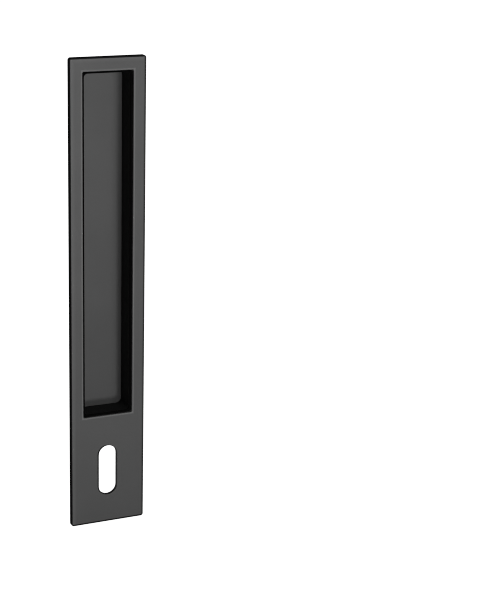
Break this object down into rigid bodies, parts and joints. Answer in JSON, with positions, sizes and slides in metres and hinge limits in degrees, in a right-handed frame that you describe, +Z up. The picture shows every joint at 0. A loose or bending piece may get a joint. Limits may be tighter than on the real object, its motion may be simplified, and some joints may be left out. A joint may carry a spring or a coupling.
{
  "type": "sliding door flush handle",
  "caption": "Long black flush handle for a sliding door: a flat plate with a deep rectangular finger pocket and an open key slot below it, fixed from inside the pocket.",
  "frame": {"origin": "middle of the plate's back face, the face that lies on the door", "axes": "+Z up along the plate, +Y from the plate's back face into the door, +X across the plate, to the right as seen from the front"},
  "size_m": [0.0488, 0.0287, 0.3],
  "materials": {
    "black_coating": "fine matt black powder coating on metal",
    "black_nylon": "moulded black nylon, fine matt texture",
    "zinc_steel": "zinc-plated steel",
    "magnet_nickel": "nickel-plated magnet",
    "foam_pad": "closed-cell adhesive foam"
  },
  "bodies": {
    "root": {"face_plate": "black_coating", "pocket_cup": "black_nylon", "floor_inlay": "black_coating", "lower_end_pad": "foam_pad", "fixing_screw_1": "zinc_steel", "fixing_screw_2": "zinc_steel", "fixing_screw_3": "zinc_steel", "fixing_screw_4": "zinc_steel", "inlay_magnet_1": "magnet_nickel", "inlay_magnet_2": "magnet_nickel", "inlay_magnet_3": "magnet_nickel", "inlay_magnet_4": "magnet_nickel", "cup_screw_1": "zinc_steel", "cup_screw_2": "zinc_steel", "cup_screw_3": "zinc_steel", "cup_screw_4": "zinc_steel", "cup_screw_5": "zinc_steel", "cup_screw_6": "zinc_steel", "cup_screw_7": "zinc_steel", "cup_screw_8": "zinc_steel", "cup_screw_9": "zinc_steel", "cup_screw_10": "zinc_steel", "cup_screw_11": "zinc_steel", "cup_screw_12": "zinc_steel"}
  },
  "joints": []
}
